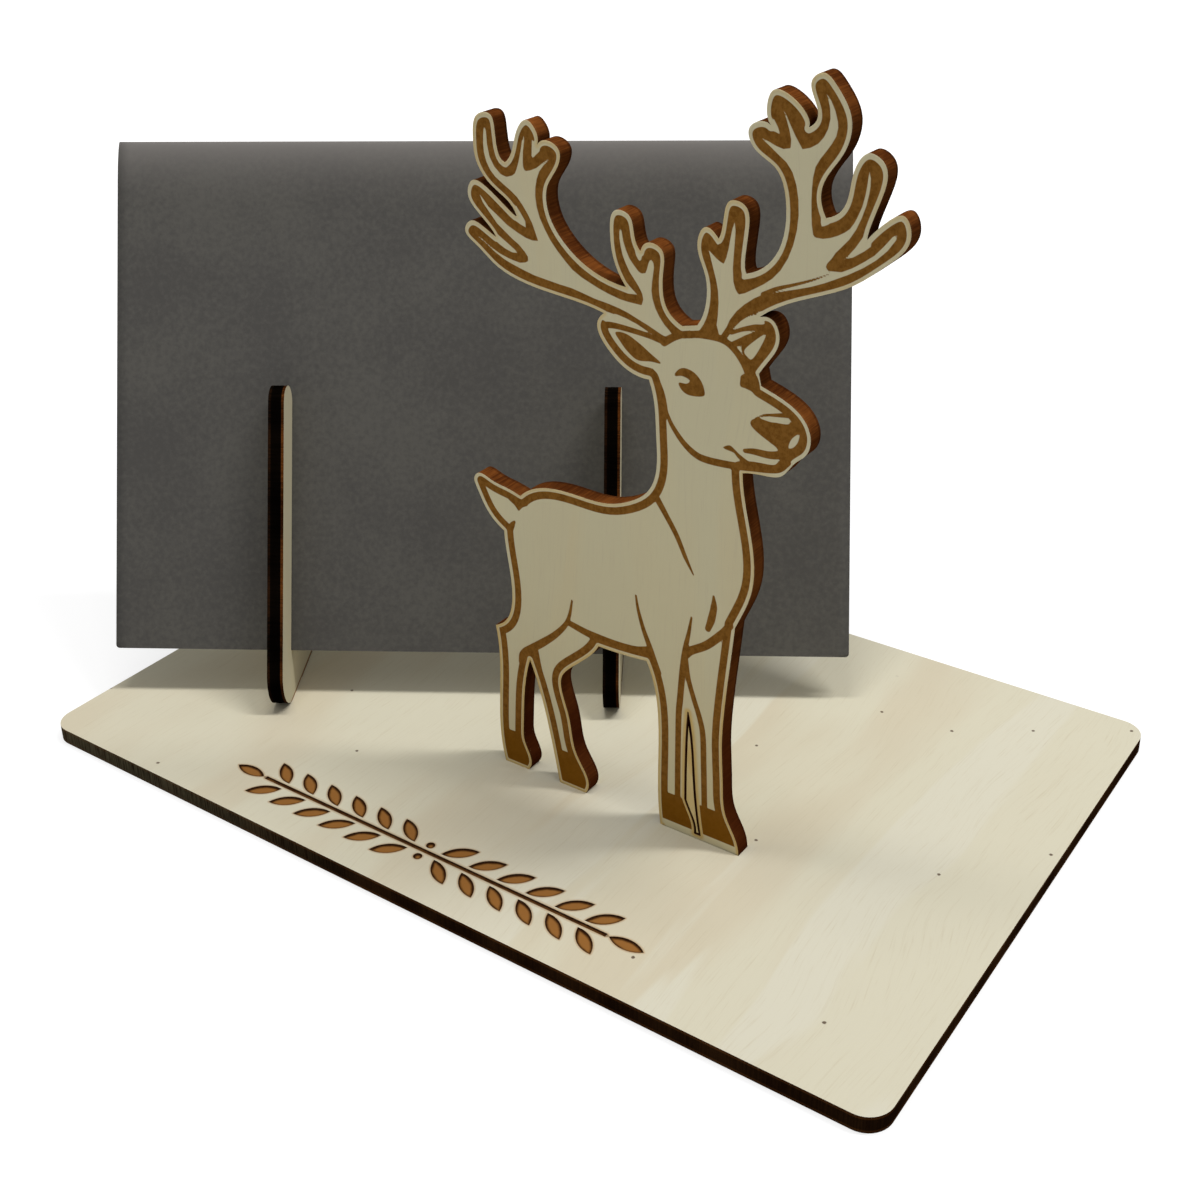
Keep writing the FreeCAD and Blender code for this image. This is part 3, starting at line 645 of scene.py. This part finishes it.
# %% The antlers
# In the antlers nearly all of the face is engraved, apart from the rim and a pale middle with sharp
# tips that reaches into every tine. Each antler is the shape that it lies in and its middle, both
# with straight sides.
ANTLERS = {
    "left": (
        [(-20, 157), (-20, 105.5), (17.5, 105.3), (18.6, 105.1), (21.5, 104.95), (23.4, 104.6),
         (25.1, 104.1), (26.5, 103.5), (27.6, 103), (29.5, 102.6), (31, 102), (33, 103),
         (34.6, 103.6), (36, 104), (36, 157)],
        [(-6.15, 134.3), (-5.85, 133.4), (-5.75, 131.2), (-5.3, 129), (-4.35, 127.4),
         (-2.95, 126.2), (-1.7, 125.9), (-0.45, 126.3), (0.2, 126.8), (0.5, 127.4), (1.1, 129),
         (1.6, 130.9), (2, 132.75), (2.45, 133.7), (2.45, 132.75), (2.1, 130.9), (2, 129),
         (2.05, 128.1), (2.45, 127.5), (3.6, 127.8), (4.9, 128.4), (6.1, 129.3), (7.7, 130.5),
         (7.4, 129.9), (6.4, 129), (5.5, 127.9), (4.9, 126.5), (4.55, 124.9), (4.45, 123.4),
         (4.7, 121.5), (5.3, 119.6), (6.3, 117.75), (7.5, 115.9), (8.9, 114.3), (10.5, 112.75),
         (12.05, 111.4), (14, 110.35), (15.7, 109.7), (17.6, 109), (19.6, 108.4), (22.05, 107.85),
         (23.7, 107.7), (26.5, 107.6), (26.85, 108.7), (26.6, 109.8), (25.9, 110.9), (25.1, 111.9),
         (24.1, 113.1), (23.3, 114.5), (22.65, 115.9), (22.3, 117.3), (22.05, 118.7),
         (22.05, 119.9), (22.3, 120.7), (22.55, 119.8), (22.8, 118.4), (23.3, 117), (24.05, 115.5),
         (25, 114.4), (25.9, 113.5), (26.5, 113.25), (27.3, 113.5), (27.6, 114.2), (27.9, 115.3),
         (28.2, 115.9), (28.5, 116), (28.9, 115.55), (29, 114.8), (28.8, 113.4), (28.6, 112),
         (28.5, 110.6), (28.7, 109.2), (29.3, 107.55), (30.1, 106.2), (31.2, 104.9), (32.05, 104.2),
         (32.55, 103.7), (32.2, 103.2), (31.5, 102.9), (30.7, 103.05), (29.6, 103.5), (27.9, 104.2),
         (25.9, 104.9), (23.7, 105.7), (21.8, 106.2), (19.55, 106.6), (16.8, 106.95), (14, 107.55),
         (11.75, 108), (9.25, 108.2), (6.75, 108.5), (3.6, 108.9), (1.1, 109.5), (-1.05, 110.1),
         (-2.9, 110.7), (-5.1, 111.8), (-7.3, 113.2), (-9.25, 114.2), (-7.9, 113.75),
         (-6.05, 112.6), (-3.9, 111.6), (-1.7, 111), (0.5, 110.65), (1.75, 110.9), (2.45, 111.3),
         (2.4, 112.1), (1.75, 112.9), (0.5, 114), (-1.05, 114.9), (-2.6, 116), (-4.2, 117.1),
         (-5.75, 118.8), (-7.2, 120.4), (-8, 121.9), (-7.3, 121.3), (-6.05, 119.9), (-4.2, 118.7),
         (-2, 117.2), (0.2, 116.2), (2.05, 115.5), (3.6, 115.25), (4.8, 115.4), (4.25, 116.8),
         (3.6, 118.4), (2.7, 119.9), (1.75, 121.2), (0.5, 122.6), (-0.75, 123.5), (-2.6, 124.6),
         (-4.2, 125.6), (-5.3, 126.7), (-6.05, 128.05), (-6.5, 129.6), (-6.6, 131.2),
         (-6.5, 132.75), (-6.3, 134)]),
    "right": (
        [(36, 157), (36, 104), (40, 104.5), (42.3, 104.2), (43.6, 105.3), (44.5, 106.9),
         (46, 108.6), (48, 110.2), (49.3, 110.9), (50.5, 111.2), (53, 112), (80, 112), (80, 157)],
        [(59.6, 147.4), (60.55, 146.3), (61.3, 144.9), (61.8, 143.3), (61.9, 142.4), (61.65, 141.1),
         (61, 139.9), (60.1, 138.6), (59.2, 137.4), (58.4, 136), (58.05, 134.25), (57.95, 132.4),
         (57.95, 130.5), (58.05, 128.6), (58.2, 126.75), (58.5, 125.3), (58.85, 124.9),
         (60.25, 124.9), (61.5, 125.25), (62.75, 125.8), (63.9, 126.5), (64.75, 127.2),
         (65.4, 128.2), (65.85, 129.1), (66.6, 131), (67.05, 133), (67.25, 134.6), (67.35, 135.8),
         (67.5, 136.6), (67.75, 135.5), (67.75, 134.2), (67.6, 133), (67.25, 131.2), (66.6, 129.2),
         (65.8, 127.3), (64.7, 125.5), (63.4, 124), (62.5, 123), (61.9, 122), (61.1, 121),
         (60.95, 120.4), (61.4, 119.9), (63.7, 120.1), (65.5, 121.05), (67.3, 122.3), (69.1, 123.7),
         (70.5, 125.3), (71.9, 127.1), (72.6, 127.6), (72.5, 126.75), (71.2, 124.8), (69.4, 123),
         (67.3, 121.4), (64.8, 119.85), (62.6, 118.7), (60.85, 117.8), (58.7, 116.85),
         (56.6, 116.1), (54.05, 115.25), (51.6, 114.4), (50.1, 114), (48.4, 113), (46.6, 111.6),
         (45.1, 110.1), (43.9, 108.4), (43.3, 107), (42.3, 105.4), (41.9, 105.4), (41.4, 107),
         (41.6, 108.7), (41.7, 110.9), (41.55, 113), (41.15, 114.8), (40.5, 116.9), (39.95, 118.7),
         (39.6, 119.7), (40.1, 119.25), (41.2, 118.4), (42.1, 117.9), (42.55, 117.8), (43, 118.9),
         (43.4, 120.5), (43.7, 122.3), (44.05, 124.05), (44.4, 125.05), (44.6, 123.7),
         (44.5, 121.6), (44.35, 119.4), (44.25, 117.3), (44.4, 115.1), (44.8, 113.9),
         (45.4, 113.05), (46.6, 113.5), (48.4, 114.6), (50.1, 115.7), (51.6, 116.9), (53, 118.5),
         (54.25, 120.7), (55.1, 123), (55.65, 125.5), (55.85, 128), (55.7, 130.5), (55.25, 132.7),
         (54.5, 134.6), (53.4, 136), (52.1, 136.9), (50.6, 138), (49.3, 138.9), (48.8, 139.25),
         (50.25, 138.8), (51.5, 138.3), (52.75, 138), (54, 138.3), (54.05, 139.6), (53.7, 141),
         (53.2, 142.4), (52.75, 143.5), (52.4, 144.1), (53.05, 143.3), (53.8, 141.9), (54.8, 140.2),
         (56.05, 138.4), (57.4, 138.8), (58.7, 139.6), (59.6, 140.7), (60.25, 142.05),
         (60.55, 143.6), (60.4, 145.2), (60, 146.6)]),
}
# Where two tines meet, the pale rim round the notch ends in a sharp tip as well.
NOTCHES = [
    [(-0.5, 120), (0.05, 121.2), (1.1, 119.9), (2.1, 118.5), (2.15, 117.4), (1.1, 117.75),
     (-0.1, 118.3)],
    [(-4.7, 114.6), (-4.2, 115.1), (-2.3, 114), (-0.45, 112.9), (0.1, 112.4), (-1.05, 112.3),
     (-2.6, 112.75), (-4.2, 113.5)],
    [(5.2, 132.6), (4.15, 133.2), (4.05, 131.8), (3.95, 130.05), (4.4, 130.2), (4.9, 130.7),
     (5.8, 131.5)],
    [(22.4, 110.6), (22.9, 111.7), (24, 110.6), (25.6, 109.35), (23.7, 109.2), (21.8, 109.5)],
    [(26, 118.1), (25.1, 117.4), (25.4, 116.3), (26, 115.4), (26.4, 115.6), (26.7, 116.7)],
    [(50.3, 141.9), (50.8, 142.6), (51.65, 141.3), (52.1, 140.2), (51.2, 140.5), (50, 140.8)],
    [(60.6, 128.3), (59.7, 128.6), (59.75, 127.2), (60, 126.8), (61, 127.3), (61.8, 128)],
    [(68, 126.2), (67.2, 126.6), (65.85, 124.4), (64.6, 122.8), (63.75, 122.15), (65.5, 122.8),
     (67.3, 124.05), (68.5, 125.1)],
    [(46.7, 117), (46, 117.3), (45.95, 115.85), (46.4, 115.8), (47.5, 116.2), (48.2, 116.9)],
    [(41.4, 122.8), (40.6, 122.2), (41.2, 120.7), (41.6, 121), (42.2, 122.6)],
]
print("antlers:", len(ANTLERS), "sharp notches:", len(NOTCHES))


# %% Curves through the drawn points
# A distance in mm that stands for far away: no finish looks for a line as far as this.
FAR = 9.0


def smooth_line(points, closed=False, cuts=10):
    """A smooth curve through points: between two of them a cubic whose slope at either one is half
    the way between that point's neighbours."""
    points = np.array(points, dtype=float)
    before, after = 2 * points[:1] - points[1:2], 2 * points[-1:] - points[-2:-1]
    if closed:
        before, after = points[-1:], points[:2]
    points = np.concatenate((before, points, after))
    before, start, end, after = (points[shift:len(points) - 3 + shift, None] for shift in range(4))
    part = np.linspace(0, 1, cuts, endpoint=False)[:, None]
    curve = (start + part * (end - before) / 2
             + part**2 * (before - 2.5 * start + 2 * end - after / 2)
             + part**3 * (1.5 * (start - end) + (after - before) / 2))
    return np.concatenate((curve.reshape(-1, 2), end[-1]))


def close_to(points, curve, reach=3.0):
    """Numbers of the points within `reach` of a curve's box: only these need its exact distance."""
    near = (points > curve.min(axis=0) - reach) & (points < curve.max(axis=0) + reach)
    return np.flatnonzero(near.all(axis=1))


def to_stroke(points, widths, line):
    """Distance from points to the edge of a stroke whose width changes along it."""
    curve = smooth_line(line)
    radius = np.interp(np.linspace(0, 1, len(curve)), np.linspace(0, 1, len(widths)), widths) / 2
    near, away = close_to(points, curve), np.full(len(points), FAR)
    away[near] = distance(points[near], curve[:-1], curve[1:], radius[:-1], radius[1:])
    return away


def to_shape(points, line, curved=True):
    """Distance from points to a filled shape's edge, curved or straight, negative inside it."""
    curve = smooth_line(line, closed=True) if curved else np.array(line + line[:1])
    near, away = close_to(points, curve), np.full(len(points), FAR)
    side = np.where(inside(points[near], curve[:-1], curve[1:]), -1, 1)
    away[near] = distance(points[near], curve[:-1], curve[1:]) * side
    return away


# %% How far each point is from a line
RIM_WIDTH = 0.68
ANTLER_RIM_WIDTH = 0.72
ANTLER_SHIFT = (0.05, 0.2)
LINE_WIDTH = 1.55
HOOF_TOP = 8.25
STRIP_TOP = 1.6
STRIP_START = 20


def to_drawing(points, rim, outline, antler_rim):
    """Distance to the nearest engraved line: the nearest of the line inside the outline, the
    hooves, the strokes and the filled shapes, outside the pale spots and above the strip that
    carries the front hooves. In an antler, what is engraved lies outside its middle and further in
    than its rim, and sits a little low."""
    height = points[:, 1]
    ink = np.minimum(np.abs(outline - RIM_WIDTH - LINE_WIDTH / 2) - LINE_WIDTH / 2,
                     np.maximum(RIM_WIDTH - rim, height - HOOF_TOP))
    for shape, middle in ANTLERS.values():
        away = to_shape(points, shape, curved=False)
        antler = np.maximum(ANTLER_RIM_WIDTH - antler_rim, -to_shape(points, middle, curved=False))
        ink = np.minimum(np.maximum(ink, -away), np.maximum(antler, away))
    for widths, line in STROKES.values():
        ink = np.minimum(ink, to_stroke(points, widths, line))
    for line in FILLED.values():
        ink = np.minimum(ink, to_shape(points, line))
    for line in PALE.values():
        ink = np.maximum(ink, -to_shape(points, line))
    for line in NOTCHES:
        ink = np.maximum(ink, -to_shape(points, line, curved=False))
    return np.maximum(ink, np.where(points[:, 0] > STRIP_START, STRIP_TOP - height, -FAR))


# %% Make the stag's front veneer
STAG_GRID = 0.3
ENGRAVED_DEPTH = 0.12
ENGRAVED_SLOPE = 0.5
GAP_REACH = (1.2, 6.0)

stag_low, stag_high = (np.array(corner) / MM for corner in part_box("stag_front_veneer"))
stag_rim, stag_edges = border("stag_front_veneer", 1, stag_low[1])
gap_low, gap_high = (np.array(corner)[[0, 2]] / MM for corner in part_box("leg_gap_sliver"))
in_gap = ((stag_rim > gap_low - GAP_REACH) & (stag_rim < gap_high + GAP_REACH)).all(axis=1)
in_gap = in_gap[stag_edges].all(axis=1)

stag_points = np.concatenate((stag_rim, grid_in(stag_rim, stag_edges, STAG_GRID, STAG_GRID * 0.5)))
to_outline, to_antler = (distance(points, *(stag_rim[stag_edges[~in_gap, end]] for end in (0, 1)))
                         for points in (stag_points, stag_points + ANTLER_SHIFT))
to_gap = distance(stag_points, *(stag_rim[stag_edges[in_gap, end]] for end in (0, 1)))
to_rim = np.minimum(to_outline, to_gap)
ink = to_drawing(stag_points - (0, BASE_TOP), to_rim, to_outline, to_antler)
pressed = ENGRAVED_DEPTH * np.clip(0.5 - ink / ENGRAVED_SLOPE, 0, 1)
print("stag points:", len(stag_points), "engraved share:", round(float((ink < 0).mean()), 3))

# %% Put the stag's front veneer together
count = len(stag_points)
front = np.insert(stag_points, 1, stag_low[1] + pressed, axis=1)
back = np.insert(stag_rim, 1, stag_high[1], axis=1)
front_faces = fill(stag_points, stag_edges)
stag_front = new_piece(
    "stag_engraved_face", np.concatenate((front, back)),
    (front_faces, fill(stag_rim, stag_edges) + count, walls(stag_edges, 0, count)),
    smooth=len(front_faces), ink=np.append(ink, np.full(len(stag_rim), FAR)),
    gap=np.append(to_gap, np.full(len(stag_rim), FAR)),
    rim=np.append(to_rim, np.zeros(len(stag_rim))))
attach(stag_front, "stag")
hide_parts("stag_front_veneer")

# %% Engraved brown on pale veneer
ENGRAVED = paint(136, 94, 41)
ENGRAVED_DARK = paint(113, 74, 27)
HOOF = paint(123, 79, 14)
TOASTED = paint(206, 176, 112)
LEGS_BELOW = (46, 36)
HOOVES_BELOW = (18, 8)

stag_finish, start = new_finish("stag_engraved")
place = place_in_mm(start)
ink_field, gap_field, rim_field = (kept_number(start, name) for name in ("ink", "gap", "rim"))
raster = clouds(place, rates(STAG, 1.2, 1.0, 1.0), detail=4, roughness=0.7)
toast = clouds(place, rates(STAG, 0.05, 0.05, 0.05), detail=1)
brown = blend(step(raster, 0.35, 0.7), ENGRAVED, ENGRAVED_DARK)
height = part_of(place, "Z")
legs = step(height, *LEGS_BELOW)
brown = blend(step(height, *HOOVES_BELOW) * 0.75, brown, HOOF)
toasted = step(toast, 0.42, 0.62) * (1 - legs) * 0.55 + legs * 0.85
pale = blend(step(rim_field, 0.9, 0.2) * toasted, veneer(place, STAG), TOASTED)
pale = blend(step(gap_field, 1.3, 0.3) * 0.8, pale, TOASTED)
face = blend(step(ink_field, 0.06, -0.06), pale, brown)
face = blend(step(gap_field, 0.22, 0.08), face, SPECK)
edge = scorched(start, place, STAG, *FRONT_EDGE)
surface(start, Base_Color=blend(on_face(start, STAG), edge, face), Roughness=0.8)
stag_front.data.materials.append(stag_finish)

sliver_finish, start = new_finish("leg_sliver")
place = place_in_mm(start)
glow = clouds(place, rates(STAG, 0.4, 0.1, 0.4))
face = blend(step(glow, 0.3, 0.7), TOASTED, paint(216, 194, 142))
edge = scorched(start, place, STAG, *EDGE)
surface(start, Base_Color=blend(on_face(start, STAG), edge, face), Roughness=0.8)
dress(sliver_finish, "leg_gap_sliver")
print("stag finishes:", stag_finish.name, sliver_finish.name)

# %% [markdown]
# ## The base's top with its engraved garland
# A leaf garland is engraved deeper along the base's front edge: its floors are golden brown and its
# rims are burnt nearly black. The solid has the pockets already, but a finish on it can't tell how
# far a place is from a pocket's rim. So the top veneer is filled again from its borders, with more
# points in and round the pockets, and each point keeps its distance to the nearest rim, negative
# inside a pocket.

# %% Points of the base's top
# Grid spacings in mm, each with the least distance of its points from the border.
POCKET_GRID = (0.25, 0.12)
NEAR_GRID = (0.5, 0.3)
WIDE_GRID = (5.0, 1.0)
NEAR_FROM, NEAR_TO = 0.2, 2.5
WIDE_FROM = 3.0

base_low, base_high = (np.array(corner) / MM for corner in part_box("base_top_veneer"))
floor_level = float(np.unique(corners_of("base_top_veneer")[:, 2])[1])
slab_rim, slab_edges = border("base_top_veneer", 2, base_low[2])
pocket_rim, pocket_edges = border("base_top_veneer", 2, floor_level)
pocket_ends = [pocket_rim[pocket_edges[:, end]] for end in (0, 1)]

pocket_points = grid_in(pocket_rim, pocket_edges, *POCKET_GRID)
near = grid_in(slab_rim, slab_edges, *NEAR_GRID)
near = near[(near[:, 1] < pocket_rim[:, 1].max() + WIDE_FROM) & ~inside(near, *pocket_ends)]
away = distance(near, *pocket_ends)
near = near[(away > NEAR_FROM) & (away < NEAR_TO)]
wide = grid_in(slab_rim, slab_edges, *WIDE_GRID)
wide = wide[~inside(wide, *pocket_ends)]
wide = wide[distance(wide, *pocket_ends) > WIDE_FROM]
print("pocket floor level in mm:", floor_level, "points:", len(pocket_points), len(near), len(wide))

# %% Put the base's top together
top_points = np.concatenate((slab_rim, pocket_rim, near, wide))
top_edges = np.concatenate((slab_edges, pocket_edges + len(slab_rim)))
floor_points = np.concatenate((pocket_rim, pocket_points))
top_faces = fill(top_points, top_edges)
first_floor = len(top_points)
first_under = first_floor + len(floor_points)
char = np.concatenate((distance(top_points, *pocket_ends), -distance(floor_points, *pocket_ends),
                       np.full(len(slab_rim), FAR)))
levels = (top_points, base_high[2]), (floor_points, floor_level), (slab_rim, base_low[2])
base_top = new_piece(
    "base_engraved_top",
    np.concatenate([np.insert(points, 2, level, axis=1) for points, level in levels]),
    (top_faces, fill(floor_points, pocket_edges) + first_floor,
     fill(slab_rim, slab_edges) + first_under, walls(slab_edges, 0, first_under),
     walls(pocket_edges, len(slab_rim), first_floor)),
    char=char)
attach(base_top, "holder")
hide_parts("base_top_veneer")

# %% Burnt pockets in pale veneer
GOLDEN = paint(150, 102, 52)
CHARRED = paint(52, 27, 12)
SINGED = paint(176, 136, 84)

base_finish, start = new_finish("base_engraved")
place = place_in_mm(start)
char_field = kept_number(start, "char")
singe = clouds(place, (0.5, 0.5, 0.5), detail=3)
pocket = blend(step(char_field + singe * 0.5, -0.55, 0.1), GOLDEN, CHARRED)
pale = blend(step(char_field, 0.5, 0.0) * 0.6, veneer(place, BASE), SINGED)
face = blend(step(char_field, 0.03, -0.03), pale, pocket)
edge = scorched(start, place, BASE, *BASE_EDGE)
edge = blend(step(char_field, 1.0, 0.5), edge, CHARRED)
surface(start, Base_Color=blend(on_face(start, BASE), edge, face), Roughness=0.8,
        Normal=fibre_relief(place, BASE))
base_top.data.materials.append(base_finish)
print("base finish:", base_finish.name)

# %% [markdown]
# ## The folded card
# One sheet of grey card is folded over at the top. The solids hold it as two flat leaves and a
# round fold, but paper bends in a softer, taller curve. The sheet's side view is one line: up the
# front leaf, over half an ellipse, down the back leaf. That line is carried along the card's
# length, twice, half a sheet outside and half a sheet inside, and the two skins are joined along
# the cut. The lower corners are rounded.

# %% The card's own directions
CARD_UP = lift_axis / np.linalg.norm(lift_axis)
CARD_DEEP = np.cross(CARD_UP, CARD_ALONG)
card_axes = np.array((CARD_ALONG, CARD_DEEP, CARD_UP))
card_corners = np.concatenate([
    corners_of(node) for node in ("card_front_leaf", "card_fold", "card_back_leaf")]) @ card_axes.T
card_low, card_high = card_corners.min(axis=0), card_corners.max(axis=0)
print("card length, depth, height in mm:", np.round(card_high - card_low, 2))

# %% Carry the fold along the card
SHEET = 0.5
FOLD_RISE = 9.0
# How far down from the fold, in mm, the paler grey reaches: partly painted highlight, partly wear.
FOLD_LIT_AND_WORN_REACH = 16.0
CORNER = 0.8
CORNER_ROWS, LEAF_ROWS, FOLD_ROWS, COLUMNS = 9, 24, 33, 61


def folded_sheet():
    """Both skins of the sheet as one grid of rows over the fold and columns along the card: the
    middle line goes up one leaf, over half an ellipse and down the other, and each skin lies half a
    sheet from it. Near the lower edge the length shrinks by a quarter circle, which rounds the
    corners."""
    depth = (card_high[1] - card_low[1] - SHEET) / 2
    top = card_high[2] - SHEET / 2 - FOLD_RISE
    leaf = np.concatenate((CORNER * (1 - np.cos(np.linspace(0, np.pi / 2, CORNER_ROWS))),
                           np.linspace(CORNER, top - card_low[2], LEAF_ROWS)[1:]))
    turn = np.linspace(0, np.pi, FOLD_ROWS)[1:-1]
    middle = np.concatenate((
        np.column_stack((np.full(len(leaf), -depth), leaf + card_low[2])),
        np.column_stack((-depth * np.cos(turn), top + FOLD_RISE * np.sin(turn))),
        np.column_stack((np.full(len(leaf), depth), leaf[::-1] + card_low[2]))))
    run = np.gradient(middle, axis=0)
    outward = np.column_stack((-run[:, 1], run[:, 0])) / np.linalg.norm(run, axis=1)[:, None]
    skins = np.stack((middle + outward * SHEET / 2, middle - outward * SHEET / 2))
    low = np.minimum(middle[:, 1] - card_low[2], CORNER)
    half = (card_high[0] - card_low[0]) / 2 - CORNER + np.sqrt(CORNER**2 - (CORNER - low) ** 2)
    centre = (card_low + card_high) / 2
    along = centre[0] + half[:, None] * np.linspace(-1, 1, COLUMNS)
    along = np.broadcast_to(along, (2, len(middle), COLUMNS))
    deep = np.broadcast_to(centre[1] + skins[:, :, :1], along.shape)
    up = np.broadcast_to(skins[:, :, 1:], along.shape)
    return np.stack((along, deep, up), axis=-1)


sheet = folded_sheet()
number = np.arange(sheet[..., 0].size).reshape(sheet.shape[:3])


def quads(grid):
    """Faces between the neighbours of a two-way grid of point numbers."""
    corners = grid[:-1, :-1], grid[:-1, 1:], grid[1:, 1:], grid[1:, :-1]
    return np.stack(corners, axis=-1).reshape(-1, 4)


card_faces = [quads(number.take(side, axis)) for axis in range(3) for side in (0, -1)]
fold_share = np.clip(1 - (card_high[2] - sheet[..., 2]) / FOLD_LIT_AND_WORN_REACH, 0, 1)
card = new_piece("folded_card_sheet", sheet.reshape(-1, 3) @ card_axes, card_faces,
                 smooth=len(card_faces[0]) + len(card_faces[1]), fold=fold_share.ravel())
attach(card, "folded_card")
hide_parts("card_front_leaf", "card_fold", "card_back_leaf")

# %% Grey paper
GREY = paint(77, 75, 72)
GREY_LIGHT = paint(89, 87, 82)
GREY_FOLD_LIT_AND_WORN = paint(122, 118, 114)
FOLD_LIT_AND_WORN_SHARE = 0.95

paper, start = new_finish("grey_paper")
place = place_in_mm(start, CARD_TURN)
fold_field = kept_number(start, "fold")
mottle = clouds(place, (0.9, 0.9, 0.9), detail=4, roughness=0.6)
cloudy = clouds(place, (0.05, 0.05, 0.05))
felt = clouds(place, (5.0, 5.0, 5.0))
grey = blend(step(mottle * 0.6 + cloudy * 0.4, 0.35, 0.68), GREY, GREY_LIGHT)
# Towards the fold the grey turns paler: partly painted highlight where the fold turns up to the
# light, partly wear along the crease.
grey = blend(fold_field * fold_field * FOLD_LIT_AND_WORN_SHARE, grey, GREY_FOLD_LIT_AND_WORN)
surface(start, Base_Color=grey, Roughness=0.9, Normal=bump(felt + mottle, 0.25, 0.06),
        Specular_IOR_Level=0.25)
card.data.materials.append(paper)
print("paper finish:", paper.name)

# %% [markdown]
# ## The gift card
# A blank plastic card sits between the leaves, where only its edge can be seen from below. It keeps
# its solid and gets a satin white with the faint orange-peel of moulded plastic.

# %% Blank plastic
plastic, start = new_finish("blank_plastic")
place = place_in_mm(start, CARD_TURN)
peel = clouds(place, (0.6, 0.6, 0.6))
white = blend(peel, paint(222, 222, 218), paint(230, 230, 227))
surface(start, Base_Color=white, Roughness=0.35 + peel * 0.1, Normal=bump(peel, 0.1, 0.05),
        Specular_IOR_Level=0.5)
dress(plastic, "gift_card")
print("plastic finish:", plastic.name)
